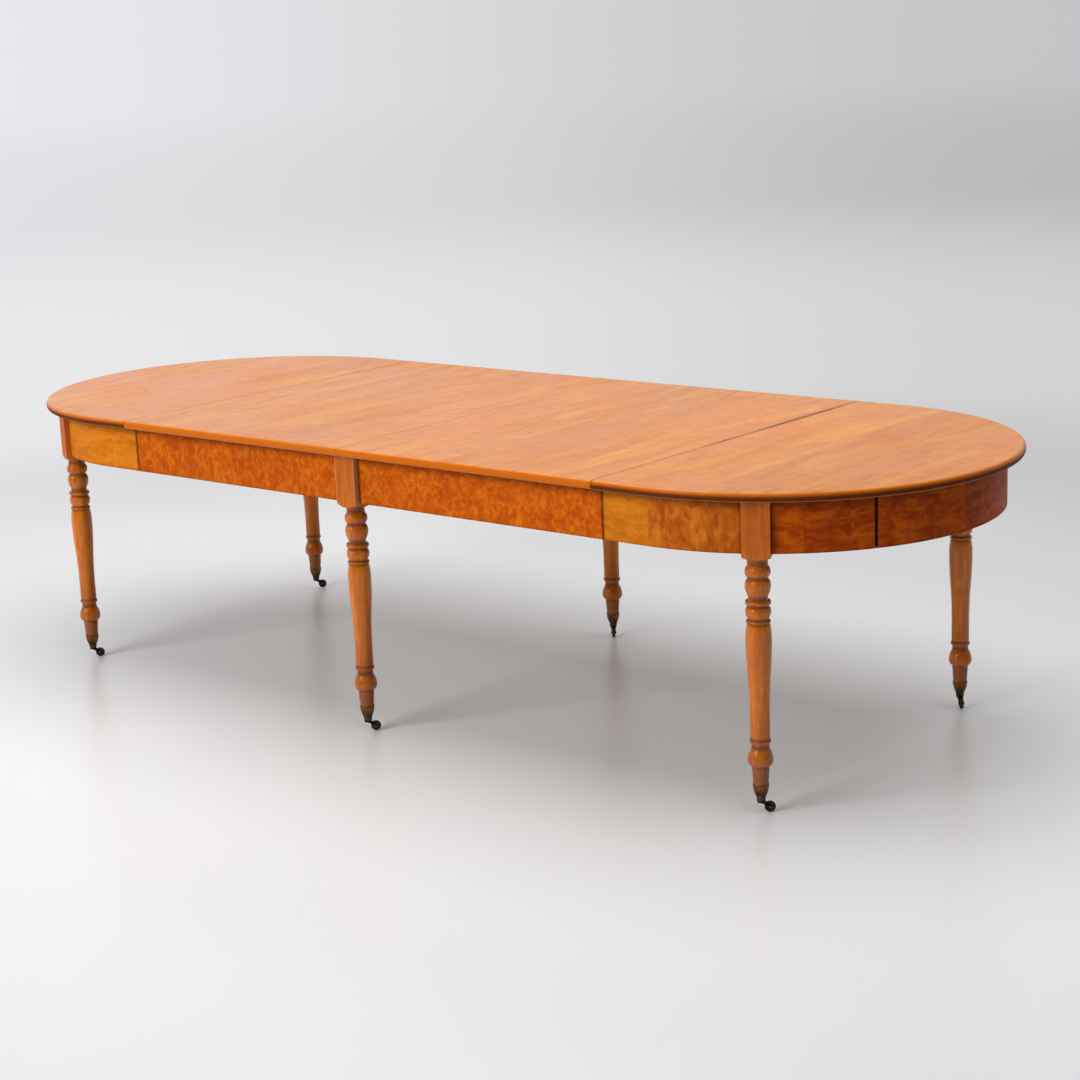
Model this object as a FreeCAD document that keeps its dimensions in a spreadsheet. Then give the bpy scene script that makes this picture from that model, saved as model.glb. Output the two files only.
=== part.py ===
import FreeCAD, Part
import os
import re

import Sketcher

# Extending dining table: two rounded ends on casters draw out on wooden runners, away from a
# centre frame with two legs, and two loose leaves with aprons lie between them.
# Millimetres and degrees. Origin on the floor under the middle of the table, +X along its length.

SIZES = [
    ("TableWidth", 1160, "across the table, and twice the radius of the rounded ends"),
    ("TableHeight", 750, "floor to the top face"),
    ("LeafLength", 800, "one loose leaf, along the table"),
    ("EndStraight", 126, "straight part of an end, before the half circle"),
    ("TopThickness", 22, "end boards"),
    ("EdgeRound", 9, "rounding of the board edges"),
    ("SeamChamfer", 0.8, "broken edges of the boards at the seams"),
    ("Overhang", 42, "board edge beyond the apron face"),
    ("SeamGap", 2, "between an end and its leaf"),
    ("LeafGap", 0.6, "between the two leaves"),
    ("HeadGap", 3, "between a leaf apron and the head of a centre leg"),
    ("LeafSeat", 0.3, "clearance between a leaf and what carries it"),
    ("ApronHeight", 123, "all aprons"),
    ("ApronThickness", 26, "all aprons"),
    ("SlitAngle", 56, "open veneer joint in the end apron, from the long side"),
    ("SlitWidth", 8, "open veneer joint"),
    ("SlitDepth", 6, "open veneer joint"),
    ("SlitMargin", 4, "solid edge above and below the open joint"),
    ("LegAngle", 27.5, "end legs, from the long side, round the end"),
    ("LegBlock", 64, "square head of a leg"),
    ("HeadClear", 0.8, "turned shoulder beyond the corners of the square head"),
    ("EndLegProud", 13, "head of an end leg beyond the apron face"),
    ("CentreLegProud", 14, "head of a centre leg beyond the apron face"),
    ("TenonLength", 14, "apron tenon in a leg head"),
    ("TenonThickness", 9, "apron tenon"),
    ("TenonShoulder", 16, "apron tenon, from the apron's top and bottom edges"),
    ("TenonFit", 0.2, "clearance round every tenon"),
    ("PommelDrop", 14, "rounded shoulder under the square head"),
    ("PommelBulge", 3, "rounded shoulder"),
    ("QuirkDiameter", 47, "grooves between the turned beads"),
    ("QuirkLength", 4, "grooves between the turned beads"),
    ("NeckLength", 17, "hollow under the square head"),
    ("NeckDiameter", 49, "ends of that hollow"),
    ("NeckHollow", 1.5, "depth of that hollow"),
    ("BeadLength", 24, "first bead"),
    ("BeadDiameter", 58, "first bead"),
    ("BallLength", 38, "ball"),
    ("BallRise", 15, "ball, from its top to its crest"),
    ("BallDiameter", 58.5, "ball"),
    ("ThroatLength", 12, "hollow under the ball"),
    ("ThroatDiameter", 46, "ends of that hollow"),
    ("ThroatHollow", 1, "depth of that hollow"),
    ("FlangeLength", 9, "thin flange"),
    ("FlangeDiameter", 58, "thin flange"),
    ("BulbLength", 28, "bulb under the flange"),
    ("BulbRise", 12, "bulb, from its top to its crest"),
    ("BulbDiameter", 58, "bulb under the flange"),
    ("RingLength", 7, "ring on top of the baluster"),
    ("RingDiameter", 55.5, "ring on top of the baluster"),
    ("RingRound", 1.5, "rounding of the flange and the rings"),
    ("BalusterNeck", 51, "baluster under its ring"),
    ("BalusterDiameter", 59, "baluster at its crest"),
    ("ShoulderLength", 35, "baluster, from its ring to its crest"),
    ("TaperBend", 0.45, "part of the baluster's taper that bulges, the rest is hollow"),
    ("ShaftLength", 59, "straight thin part of the baluster"),
    ("WaistDiameter", 44.5, "straight thin part of the baluster"),
    ("AnkletLength", 8, "ring under the baluster"),
    ("AnkletDiameter", 49, "ring under the baluster"),
    ("CoveLength", 14, "hollow above the collar"),
    ("CoveHollow", 1, "depth of that hollow"),
    ("CollarLength", 41, "collar above the foot"),
    ("CollarRise", 27, "collar, from its top to its crest"),
    ("CollarDiameter", 58, "collar above the foot"),
    ("CollarRoot", 42.5, "ends of the collar"),
    ("FootLength", 54, "tapered foot, collar to tip"),
    ("FootDiameter", 41, "foot under the collar"),
    ("FootTip", 33, "foot at its lower end"),
    ("CupDepth", 11, "brass cup up the foot"),
    ("CupWall", 1, "brass cup"),
    ("CupFloor", 29, "brass cup, solid part under the foot"),
    ("CupCurve", 0.5, "bulge of the cup under the foot"),
    ("CupNeck", 23, "brass cup, where its taper ends"),
    ("CupNeckHeight", 11, "that place above the cup's lower end"),
    ("CupHollow", 0.4, "hollow of the cup under that place"),
    ("CupBase", 20, "brass cup, at its lower end"),
    ("CupFit", 0.2, "cup round the foot"),
    ("CupLip", 0.3, "rounded lip of the cup beyond its wall"),
    ("CupLipHeight", 3, "rounded lip of the cup"),
    ("WheelDiameter", 26, "caster wheel"),
    ("WheelWidth", 8, "caster wheel"),
    ("WheelCrown", 1, "how much the wheel's edge is smaller in radius than its middle"),
    ("WheelTrail", 20, "wheel axle behind the swivel axis"),
    ("WheelPlay", 0.4, "between wheel and cheek"),
    ("WheelClear", 1.5, "between wheel and horn"),
    ("AxleDiameter", 4, "axle pin"),
    ("AxleHeadDiameter", 6, "riveted head of the axle pin"),
    ("AxleHeadLength", 1, "riveted head of the axle pin"),
    ("RunningFit", 0.05, "radial clearance of pins that turn"),
    ("CheekThickness", 2, "one cheek of the horn"),
    ("HornRoot", 6, "horn ahead of the swivel axis"),
    ("HornCrest", 3, "curve of the horn over the wheel"),
    ("HornThroat", 2, "hollow of the horn in front of the wheel"),
    ("CheekRadius", 5, "horn round the axle"),
    ("SwivelDiameter", 18, "plate on top of the horn"),
    ("SwivelThickness", 4, "plate on top of the horn"),
    ("SwivelGap", 0.3, "between the plate and the cup"),
    ("PintleDiameter", 8, "swivel pin"),
    ("PintleLength", 20, "swivel pin above the plate"),
    ("PintleRoom", 0.6, "room above the swivel pin"),
    ("RunnerWidth", 30, "one runner"),
    ("RunnerDepth", 60, "one runner"),
    ("RunnerOffset", 205, "middle of the centre runners from the middle of the table"),
    ("RunnerSlack", 0.4, "between runners that slide along each other"),
    ("CentreRunnerReach", 560, "half length of a centre runner"),
    ("EndRunnerInner", 250, "inner end of an end runner from the middle of the table"),
    ("EndRunnerGap", 14, "outer end of an end runner from the curved apron, along the table"),
    ("GrooveDepth", 8, "groove of the centre runners"),
    ("GrooveHeight", 14, "groove of the centre runners"),
    ("KeyLength", 180, "key at the inner end of an end runner"),
    ("EndTravel", 120, "how far an end draws out past the closed seam"),
    ("CrossRailThickness", 40, "rail between the centre legs"),
    ("CrossTenonLength", 26, "tenon of that rail in a leg head"),
    ("CrossTenonShoulder", 8, "tenon of that rail, from its top and bottom edges"),
    ("CrossTenonThickness", 14, "tenon of that rail"),
    ("EndRailThickness", 30, "rail across the inside of an end"),
    ("EndRailInset", 30, "rail across the inside of an end, from the seam"),
    ("EndRailTenon", 10, "that rail let into the returns"),
    ("BearerLength", 130, "plate that carries the leaf's edge"),
    ("BearerReach", 40, "plate under the leaf"),
    ("BearerWidth", 60, "plate that carries the leaf's edge"),
    ("BearerThickness", 12, "plate that carries the leaf's edge"),
    ("BearerOffset", 100, "middle of the plate from the middle of the table"),
    ("BattenMargin", 60, "batten from the seams of its leaf"),
    ("BattenWidth", 40, "batten under a leaf"),
    ("BattenThickness", 18, "batten under a leaf"),
    ("BattenInset", 92, "batten from the leaf's apron"),
    ("TurnFrontLeft", 39, "way each caster trails, from +X"),
    ("TurnBackLeft", 39, "way each caster trails, from +X"),
    ("TurnFrontCentre", 39, "way each caster trails, from +X"),
    ("TurnBackCentre", -51, "way each caster trails, from +X"),
    ("TurnFrontRight", 39, "way each caster trails, from +X"),
    ("TurnBackRight", -51, "way each caster trails, from +X"),
]

# Sizes that follow from the ones above
DERIVED = {
    "HalfWidth": "TableWidth / 2",
    "TopUnderside": "TableHeight - TopThickness",
    "LeafUnderside": "TopUnderside + LeafSeat",
    "ApronBottom": "TopUnderside - ApronHeight",
    "ApronFace": "HalfWidth - Overhang",
    "ApronBack": "ApronFace - ApronThickness",
    "HalfBlock": "LegBlock / 2",
    "HeadCorner": "LegBlock * sqrt(0.5) + HeadClear",
    "LeafStart": "LeafGap / 2",
    "EndFace": "LeafStart + LeafLength + SeamGap",
    "EndCentre": "EndFace + EndStraight",
    "EndLegCircle": "ApronFace + EndLegProud - HalfBlock",
    "EndLegX": "EndCentre + EndLegCircle * sin(LegAngle * 1 deg)",
    "EndLegY": "EndLegCircle * cos(LegAngle * 1 deg)",
    "CentreLegY": "ApronFace + CentreLegProud - HalfBlock",
    "RailHeight": "ApronHeight - RunnerDepth",
    "TenonHeight": "ApronHeight - 2 * TenonShoulder",
    "WheelRadius": "WheelDiameter / 2",
    "SwivelTop": "WheelDiameter + WheelClear",
    "CupBottom": "SwivelTop + SwivelGap",
    "FootBottom": "CupBottom + CupFloor",
    "HornWidth": "WheelWidth + 2 * WheelPlay + 2 * CheekThickness",
    "NeckTop": "ApronBottom - PommelDrop",
    "BeadTop": "NeckTop - NeckLength",
    "BeadBottom": "BeadTop - BeadLength",
    "BallTop": "BeadBottom - QuirkLength",
    "BallBottom": "BallTop - BallLength",
    "FlangeTop": "BallBottom - ThroatLength",
    "FlangeBottom": "FlangeTop - FlangeLength",
    "BulbTop": "FlangeBottom - QuirkLength",
    "BulbBottom": "BulbTop - BulbLength",
    "RingTop": "BulbBottom - QuirkLength",
    "RingBottom": "RingTop - RingLength",
    "BalusterCrest": "RingBottom - ShoulderLength",
    "CollarBottom": "FootBottom + FootLength",
    "CollarTop": "CollarBottom + CollarLength",
    "AnkletBottom": "CollarTop + CoveLength",
    "AnkletTop": "AnkletBottom + AnkletLength",
    "ShaftTop": "AnkletTop + ShaftLength",
    "TaperLength": "BalusterCrest - ShaftTop",
    "TaperDrop": "(BalusterDiameter - WaistDiameter) / 2",
    "CupTopRadius": "FootTip / 2 + CupDepth * (FootDiameter - FootTip) / 2 / FootLength",
    "PlateBottom": "SwivelTop - SwivelThickness",
    "GrooveMiddle": "TopUnderside - RunnerDepth / 2",
    "RunnerInside": "RunnerOffset - RunnerWidth / 2",
    "RunnerOutside": "RunnerOffset + RunnerWidth / 2",
    "TenonMiddle": "ApronFace - ApronThickness / 2",
    "GrooveStop": "EndRunnerInner + KeyLength + EndTravel + RunnerSlack",
    "KeyHeight": "GrooveHeight - 2 * RunnerSlack",
}

CELLS = {name for name, value, note in SIZES}

# Lengths below this count as nothing when an edge or a point is looked up
TINY = 1e-6

# The two ends are alike: the right one is turned half round to make the left one.
ENDS = {"right": 1, "left": -1}
FLANKS = {"front": -1, "back": 1}

doc = FreeCAD.newDocument("ExtendingTable")
sheet = doc.addObject("Spreadsheet::Sheet", "Sizes")
for row, (name, value, note) in enumerate(SIZES, start=1):
    sheet.set(f"A{row}", note)
    sheet.set(f"B{row}", str(value))
    sheet.setAlias(f"B{row}", name)
doc.recompute()

nodes = []


def formula(text):
    """Spells a formula's words as cells of the sheet, derived words as what they stand for."""
    def spell(match):
        word = match.group(0)
        if word in DERIVED:
            return f"({formula(DERIVED[word])})"
        return f"Sizes.{word}" if word in CELLS else word
    return re.sub(r"[A-Za-z]+", spell, text)


def value_of(text):
    """The present value of a formula, in millimetres."""
    return float(sheet.evalExpression(formula(text)))


def bind(obj, **formulas):
    """Ties properties of an object to formulas."""
    for prop, text in formulas.items():
        obj.setExpression(prop, formula(text))


def place(obj, x="0", y="0", z="0", turn="0", side=1):
    """Puts an object at x, y, z, turned about the upright axis; side -1 is half a turn round the table."""
    half_turn = 0 if side > 0 else 180
    obj.setExpression("Placement.Base.x", formula(f"({x}) * {side}"))
    obj.setExpression("Placement.Base.y", formula(f"({y}) * {side}"))
    obj.setExpression("Placement.Base.z", formula(z))
    obj.setExpression("Placement.Rotation.Angle", formula(f"(({turn}) + {half_turn}) * 1 deg"))
    return obj


def node(obj, label):
    """Names a finished piece, which is written to a file of its own."""
    obj.Label = label
    nodes.append(obj)
    return obj


def box(name, x, y, z, length, width, height, turn="0", side=1):
    """A block whose low corner, before it is turned, is at x, y, z."""
    block = doc.addObject("Part::Box", name)
    bind(block, Length=length, Width=width, Height=height)
    return place(block, x, y, z, turn, side)


def cylinder(name, radius, height, x="0", y="0", z="0", angle="360", turn="0"):
    """An upright cylinder, or a sector of one that starts at the angle turn from +X."""
    rod = doc.addObject("Part::Cylinder", name)
    bind(rod, Radius=radius, Height=height, Angle=angle)
    return place(rod, x, y, z, turn)


def cut(name, base, *tools):
    """The base without the tools."""
    result = base
    for number, tool in enumerate(tools, start=1):
        step = doc.addObject("Part::Cut", f"{name}_{number}")
        step.Base = result
        step.Tool = tool
        result = step
    return result


def fuse(name, *shapes):
    """Several shapes made into one solid, without seams on its flat faces."""
    result = doc.addObject("Part::MultiFuse", name)
    result.Shapes = list(shapes)
    result.Refine = True
    return result


def group(label, pieces):
    """Separate solids that share one node."""
    compound = doc.addObject("Part::Compound", label)
    compound.Links = pieces
    return node(compound, label)


def body_sketch(body, name, plane):
    """A sketch on one of the body's own origin planes."""
    sketch = body.newObject("Sketcher::SketchObject", name)
    origin = next(item for item in body.Origin.OriginFeatures if item.Role == plane)
    sketch.AttachmentSupport = [(origin, "")]
    sketch.MapMode = "FlatFace"
    return sketch


def outline(sketch, stations):
    """Draws a closed outline through stations (across, up, bulge of the stretch that follows).

    A stretch without a bulge is straight. A positive bulge stands out on the left of the way drawn.
    """
    points = [FreeCAD.Vector(value_of(x), value_of(y), 0) for x, y, bulge in stations]
    count = len(stations)
    for index, (x, y, bulge) in enumerate(stations):
        start = points[index]
        end = points[(index + 1) % count]
        if bulge is None:
            sketch.addGeometry(Part.LineSegment(start, end))
            continue
        chord = end - start
        left = FreeCAD.Vector(-chord.y, chord.x, 0).normalize()
        middle = (start + end) / 2 + left * value_of(bulge)
        sketch.addGeometry(Part.Arc(start, middle, end))
    first_point = [start_vertex(sketch, index, points) for index in range(count)]
    for index in range(count):
        following = (index + 1) % count
        last_point = 3 - first_point[index]
        sketch.addConstraint(Sketcher.Constraint("Coincident", index, last_point,
                                                 following, first_point[following]))
    for index, (x, y, bulge) in enumerate(stations):
        pin_point(sketch, index, first_point[index], "DistanceX", x)
        pin_point(sketch, index, first_point[index], "DistanceY", y)
        if bulge is not None:
            next_x, next_y, _ = stations[(index + 1) % count]
            chord_square = f"((({x}) - ({next_x}))^2 + (({y}) - ({next_y}))^2)"
            size = f"abs({chord_square} / (8 * ({bulge})) + ({bulge}) / 2)"
            number = sketch.addConstraint(Sketcher.Constraint("Radius", index, value_of(size)))
            sketch.setExpression(f"Constraints[{number}]", formula(size))


def start_vertex(sketch, index, points):
    """Which end of a drawn stretch, 1 or 2, lies on its first point: arcs are stored anticlockwise."""
    return 1 if sketch.getPoint(index, 1).distanceToPoint(points[index]) < TINY else 2


def pin_point(sketch, index, vertex, kind, text):
    """Ties one coordinate of a point of the outline to a formula."""
    if text == "0":
        axis = -2 if kind == "DistanceX" else -1
        sketch.addConstraint(Sketcher.Constraint("PointOnObject", index, vertex, axis))
        return
    number = sketch.addConstraint(Sketcher.Constraint(kind, -1, 1, index, vertex, value_of(text)))
    sketch.setExpression(f"Constraints[{number}]", formula(text))


def revolved(name, stations, plane="XZ_Plane"):
    """A solid of revolution from an outline of (radius, height, bulge).

    Its axis is upright, or along Y where the outline is drawn on the XY plane.
    """
    body = doc.addObject("PartDesign::Body", name)
    sketch = body_sketch(body, f"{name}_profile", plane)
    outline(sketch, stations)
    turning = body.newObject("PartDesign::Revolution", f"{name}_turning")
    turning.Profile = sketch
    turning.ReferenceAxis = (sketch, ["V_Axis"])
    turning.Angle = 360
    body.Tip = turning
    return body


def padded(name, stations, plane, thickness, midway=False):
    """A plate of an outline's shape; midway puts the outline in the middle of the thickness."""
    body = doc.addObject("PartDesign::Body", name)
    sketch = body_sketch(body, f"{name}_outline", plane)
    outline(sketch, stations)
    pad = body.newObject("PartDesign::Pad", f"{name}_pad")
    pad.Profile = sketch
    pad.SideType = "Symmetric" if midway else "One side"
    pad.setExpression("Length", formula(thickness))
    body.Tip = pad
    return body


def dress_edges(body, kind, size, chosen):
    """Rounds (Fillet) or bevels (Chamfer) the edges that the function chosen picks by their box."""
    doc.recompute()
    base = body.Tip
    edges = enumerate(base.Shape.Edges, start=1)
    names = [f"Edge{number}" for number, edge in edges if chosen(edge.BoundBox)]
    dressed = body.newObject(f"PartDesign::{kind}", f"{body.Name}_{kind.lower()}")
    dressed.Base = (base, names)
    dressed.setExpression("Radius" if kind == "Fillet" else "Size", formula(size))
    body.Tip = dressed


def finish_board(body, outer_edge, seams):
    """Rounds a board's outer edges, top and bottom, and breaks its edges at the seams, at these X."""
    def rounded(reach):
        return abs(reach.ZLength) < TINY and outer_edge(reach.Center)

    def at_seam(reach):
        return abs(reach.XLength) < TINY and any(abs(reach.XMin - value_of(seam)) < TINY for seam in seams)

    dress_edges(body, "Fillet", "EdgeRound", rounded)
    dress_edges(body, "Chamfer", "SeamChamfer", at_seam)


def ring_box(name, across, near, z, length, width, height, turn):
    """A block in an end's own frame, square to the leg that stands at the angle turn.

    It starts at across along the apron and at near from the end's centre.
    """
    far = f"({near} + {width})"
    cosine = f"cos(({turn}) * 1 deg)"
    sine = f"sin(({turn}) * 1 deg)"
    x = f"({across}) * {cosine} + {far} * {sine}"
    y = f"({across}) * {sine} - {far} * {cosine}"
    return box(name, x, y, z, length, width, height, turn)


def crest_bulge(step, height):
    """Bulge of an arc that stands upright at one end, where it lies step further out or in.

    Two such arcs run smoothly into each other at a crest.
    """
    chord = f"sqrt(({step})^2 + ({height})^2)"
    return f"{chord} * ({chord} - ({height})) / (2 * ({step}))"


def swelling(name, top, root):
    """A turned swelling from its top over its crest, which stands beyond a root of this diameter."""
    step = f"({name}Diameter - {root}) / 2"
    return [
        (f"{root} / 2", top, crest_bulge(step, f"{name}Rise")),
        (f"{name}Diameter / 2", f"{top} - {name}Rise", crest_bulge(step, f"{name}Length - {name}Rise")),
    ]


def turned_ring(name, top):
    """A thin turned ring with a rounded edge."""
    root = f"{name}Diameter / 2 - RingRound"
    return [(root, top, "RingRound"), (root, f"{top} - {name}Length", None)]


def leg_stations():
    """The turned outline of a leg, from the top of its head down to the tip of its foot."""
    taper = crest_bulge("TaperDrop", "TaperLength")
    return [
        ("0", "TopUnderside", None),
        ("HeadCorner", "TopUnderside", None),
        ("HeadCorner", "ApronBottom", "PommelBulge"),
        ("NeckDiameter / 2", "NeckTop", "0 - NeckHollow"),
        ("NeckDiameter / 2", "BeadTop", "(BeadDiameter - NeckDiameter) / 2"),
        ("NeckDiameter / 2", "BeadBottom", None),
        ("QuirkDiameter / 2", "BeadBottom", None),
        *swelling("Ball", "BallTop", "QuirkDiameter"),
        ("QuirkDiameter / 2", "BallBottom", None),
        ("ThroatDiameter / 2", "BallBottom", "0 - ThroatHollow"),
        ("ThroatDiameter / 2", "FlangeTop", None),
        *turned_ring("Flange", "FlangeTop"),
        ("QuirkDiameter / 2", "FlangeBottom", None),
        *swelling("Bulb", "BulbTop", "QuirkDiameter"),
        ("QuirkDiameter / 2", "BulbBottom", None),
        ("QuirkDiameter / 2", "RingTop", None),
        *turned_ring("Ring", "RingTop"),
        ("BalusterNeck / 2", "RingBottom",
         crest_bulge("(BalusterDiameter - BalusterNeck) / 2", "ShoulderLength")),
        ("BalusterDiameter / 2", "BalusterCrest", f"TaperBend * {taper}"),
        ("BalusterDiameter / 2 - TaperBend * TaperDrop", "BalusterCrest - TaperBend * TaperLength",
         f"(TaperBend - 1) * {taper}"),
        ("WaistDiameter / 2", "ShaftTop", None),
        ("WaistDiameter / 2", "AnkletTop", None),
        *turned_ring("Anklet", "AnkletTop"),
        ("CollarRoot / 2", "AnkletBottom", "0 - CoveHollow"),
        *swelling("Collar", "CollarTop", "CollarRoot"),
        ("CollarRoot / 2", "CollarBottom", None),
        ("FootDiameter / 2", "CollarBottom", None),
        ("FootTip / 2", "FootBottom", None),
        ("0", "FootBottom", None),
    ]


def leg(label, mortises):
    """A leg turned from a square billet, on the upright axis, with its mortises cut."""
    turned = revolved(f"{label}_turned", leg_stations())
    billet = box(f"{label}_billet", "-HalfBlock", "-HalfBlock", "FootBottom",
                 "LegBlock", "LegBlock", "TopUnderside - FootBottom")
    blank = doc.addObject("Part::Common", f"{label}_blank")
    blank.Base = turned
    blank.Tool = billet
    return node(cut(label, blank, *mortises), label)


def apron_mortises(label):
    """Mortises on both sides of an end leg's head, for the tenons of the curved aprons."""
    deep = "(HalfBlock - TenonLength - TenonFit)"
    low_y = "EndLegCircle - TenonMiddle - TenonThickness / 2 - TenonFit"
    size = ("2 * TenonLength", "TenonThickness + 2 * TenonFit", "TenonHeight + 2 * TenonFit")
    low_z = "ApronBottom + TenonShoulder - TenonFit"
    starts = {"right": deep, "left": f"-{deep} - 2 * TenonLength"}
    return [box(f"{label}_mortise_{way}", start, low_y, low_z, *size) for way, start in starts.items()]


def rail_mortise(label):
    """Mortise in the inner face of a centre leg's head, for the cross rail."""
    return box(f"{label}_mortise", "-CrossTenonThickness / 2 - TenonFit",
               "HalfBlock - CrossTenonLength - TenonFit",
               "ApronBottom + CrossTenonShoulder - TenonFit",
               "CrossTenonThickness + 2 * TenonFit", "2 * CrossTenonLength",
               "RailHeight - 2 * CrossTenonShoulder + 2 * TenonFit")


def curved_apron(label, start, sweep, tenons, side, slit=False):
    """A stretch of an end's curved apron, with a tenon at each leg that it meets.

    Angles run round the end from its long front side; tenons lists (leg angle, way to the apron).
    """
    stretch = cylinder(f"{label}_outer", "ApronFace", "ApronHeight", angle=sweep, turn=f"{start} - 90")
    hollow = cylinder(f"{label}_inner", "ApronBack", "ApronHeight")
    tools = [hollow]
    tongues = []
    for number, (angle, way) in enumerate(tenons, start=1):
        tools.append(ring_box(f"{label}_head_{number}", "-HalfBlock", "EndLegCircle - HalfBlock", "0",
                              "LegBlock", "LegBlock", "ApronHeight", angle))
        near_side = "HalfBlock - TenonLength" if way > 0 else "-HalfBlock - TenonLength"
        tenon_near = "TenonMiddle - TenonThickness / 2"
        tongues.append(ring_box(f"{label}_tenon_{number}", near_side, tenon_near, "TenonShoulder",
                                "2 * TenonLength", "TenonThickness", "TenonHeight", angle))
    if slit:
        tools.append(ring_box(f"{label}_slit", "-SlitWidth / 2", "ApronFace - SlitDepth", "SlitMargin",
                              "SlitWidth", "2 * SlitDepth", "ApronHeight - 2 * SlitMargin", "SlitAngle"))
    piece = fuse(label, cut(f"{label}_curve", stretch, *tools), *tongues)
    return node(place(piece, "EndCentre", "0", "ApronBottom", side=side), label)


def end_top(label, side):
    """The board of a rounded end, with its edge rounded everywhere but at the seam."""
    quarter = "0 - HalfWidth * (1 - sqrt(0.5))"
    stations = [
        ("0", "-HalfWidth", None),
        ("EndStraight", "-HalfWidth", quarter),
        ("EndStraight + HalfWidth", "0", quarter),
        ("EndStraight", "HalfWidth", None),
        ("0", "HalfWidth", None),
    ]
    board = padded(label, stations, "XY_Plane", "TopThickness")
    finish_board(board, lambda middle: middle.x > TINY, ["0"])
    return node(place(board, "EndFace", "0", "TopUnderside", side=side), label)


def leaf_top(label, side):
    """The board of a loose leaf, rounded along its two outer edges."""
    stations = [
        ("0", "-HalfWidth", None),
        ("LeafLength", "-HalfWidth", None),
        ("LeafLength", "HalfWidth", None),
        ("0", "HalfWidth", None),
    ]
    board = padded(label, stations, "XY_Plane", "TopThickness - LeafSeat")
    finish_board(board, lambda middle: abs(middle.y) > TINY, ["0", "LeafLength"])
    return node(place(board, "LeafStart", "0", "LeafUnderside", side=side), label)


def band(near, width, sign):
    """Low Y of a band that lies between near and near + width on one flank of the table."""
    return near if sign > 0 else f"-({near}) - ({width})"


def end_return(label, sign, side):
    """Straight apron piece beside the seam, with a housing for the end's cross rail."""
    blank = box(f"{label}_blank", "EndFace", band("ApronBack", "ApronThickness", sign), "ApronBottom",
                "EndStraight", "ApronThickness", "ApronHeight")
    housing = box(f"{label}_housing", "EndFace + EndRailInset - TenonFit",
                  band("ApronBack - TenonFit", "EndRailTenon + 2 * TenonFit", sign),
                  "ApronBottom", "EndRailThickness + 2 * TenonFit", "EndRailTenon + 2 * TenonFit",
                  "RailHeight + TenonFit")
    return node(place(cut(label, blank, housing), side=side), label)


def end_runner(label, sign, side):
    """Runner under an end, with a key at its inner end that runs in the centre runner's groove."""
    inside = side > 0
    near = "RunnerInside - RunnerSlack - RunnerWidth" if inside else "RunnerOutside + RunnerSlack"
    key_near = "RunnerInside - RunnerSlack" if inside else "RunnerOutside + RunnerSlack - GrooveDepth"
    apron_reach = f"EndCentre + sqrt(ApronBack^2 - ({near} + RunnerWidth)^2)"
    length = f"{apron_reach} - EndRunnerGap - EndRunnerInner"
    bar = box(f"{label}_bar", "EndRunnerInner", band(near, "RunnerWidth", sign),
              "TopUnderside - RunnerDepth", length, "RunnerWidth", "RunnerDepth")
    key = box(f"{label}_key", "EndRunnerInner", band(key_near, "GrooveDepth", sign),
              "GrooveMiddle - KeyHeight / 2", "KeyLength", "GrooveDepth", "KeyHeight")
    return node(place(fuse(label, bar, key), side=side), label)


def centre_runner(label, sign):
    """Runner of the centre frame; each groove is open at one end and stops the key at the other."""
    bar = box(f"{label}_bar", "-CentreRunnerReach", band("RunnerInside", "RunnerWidth", sign),
              "TopUnderside - RunnerDepth", "2 * CentreRunnerReach", "RunnerWidth", "RunnerDepth")
    run = "CentreRunnerReach + GrooveStop"
    low_z = "GrooveMiddle - GrooveHeight / 2"
    inner = box(f"{label}_inner_groove", "-CentreRunnerReach", band("RunnerInside", "GrooveDepth", sign),
                low_z, run, "GrooveDepth", "GrooveHeight")
    outer = box(f"{label}_outer_groove", "-GrooveStop",
                band("RunnerOutside - GrooveDepth", "GrooveDepth", sign),
                low_z, run, "GrooveDepth", "GrooveHeight")
    return node(cut(label, bar, inner, outer), label)


def cross_rail(label):
    """Rail between the centre legs, tenoned into both heads."""
    reach = "(CentreLegY - HalfBlock)"
    tenon_reach = f"({reach} + CrossTenonLength)"
    rail = box(f"{label}_rail", "-CrossRailThickness / 2", f"-{reach}", "ApronBottom",
               "CrossRailThickness", f"2 * {reach}", "RailHeight")
    tenon = box(f"{label}_tenons", "-CrossTenonThickness / 2", f"-{tenon_reach}",
                "ApronBottom + CrossTenonShoulder", "CrossTenonThickness", f"2 * {tenon_reach}",
                "RailHeight - 2 * CrossTenonShoulder")
    return node(fuse(label, rail, tenon), label)


def caster_cup(name, x, y):
    """Brass cup on the foot of a leg, solid under the foot, with a blind hole for the swivel pin."""
    bore = "PintleDiameter / 2 + RunningFit"
    bore_end = "CupBottom + PintleLength + PintleRoom"
    inner_low = "FootTip / 2 + CupFit"
    inner_high = "CupTopRadius + CupFit"
    rim = "FootBottom + CupDepth"
    stations = [
        (inner_high, rim, None),
        (f"{inner_high} + CupWall", rim, "CupLip"),
        (f"{inner_high} + CupWall", f"{rim} - CupLipHeight", None),
        (f"{inner_low} + CupWall", "FootBottom", "CupCurve"),
        ("CupNeck / 2", "CupBottom + CupNeckHeight", "0 - CupHollow"),
        ("CupBase / 2", "CupBottom", None),
        (bore, "CupBottom", None),
        (bore, bore_end, None),
        ("0", bore_end, None),
        ("0", "FootBottom", None),
        (inner_low, "FootBottom", None),
    ]
    return place(revolved(name, stations), x, y)


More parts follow.
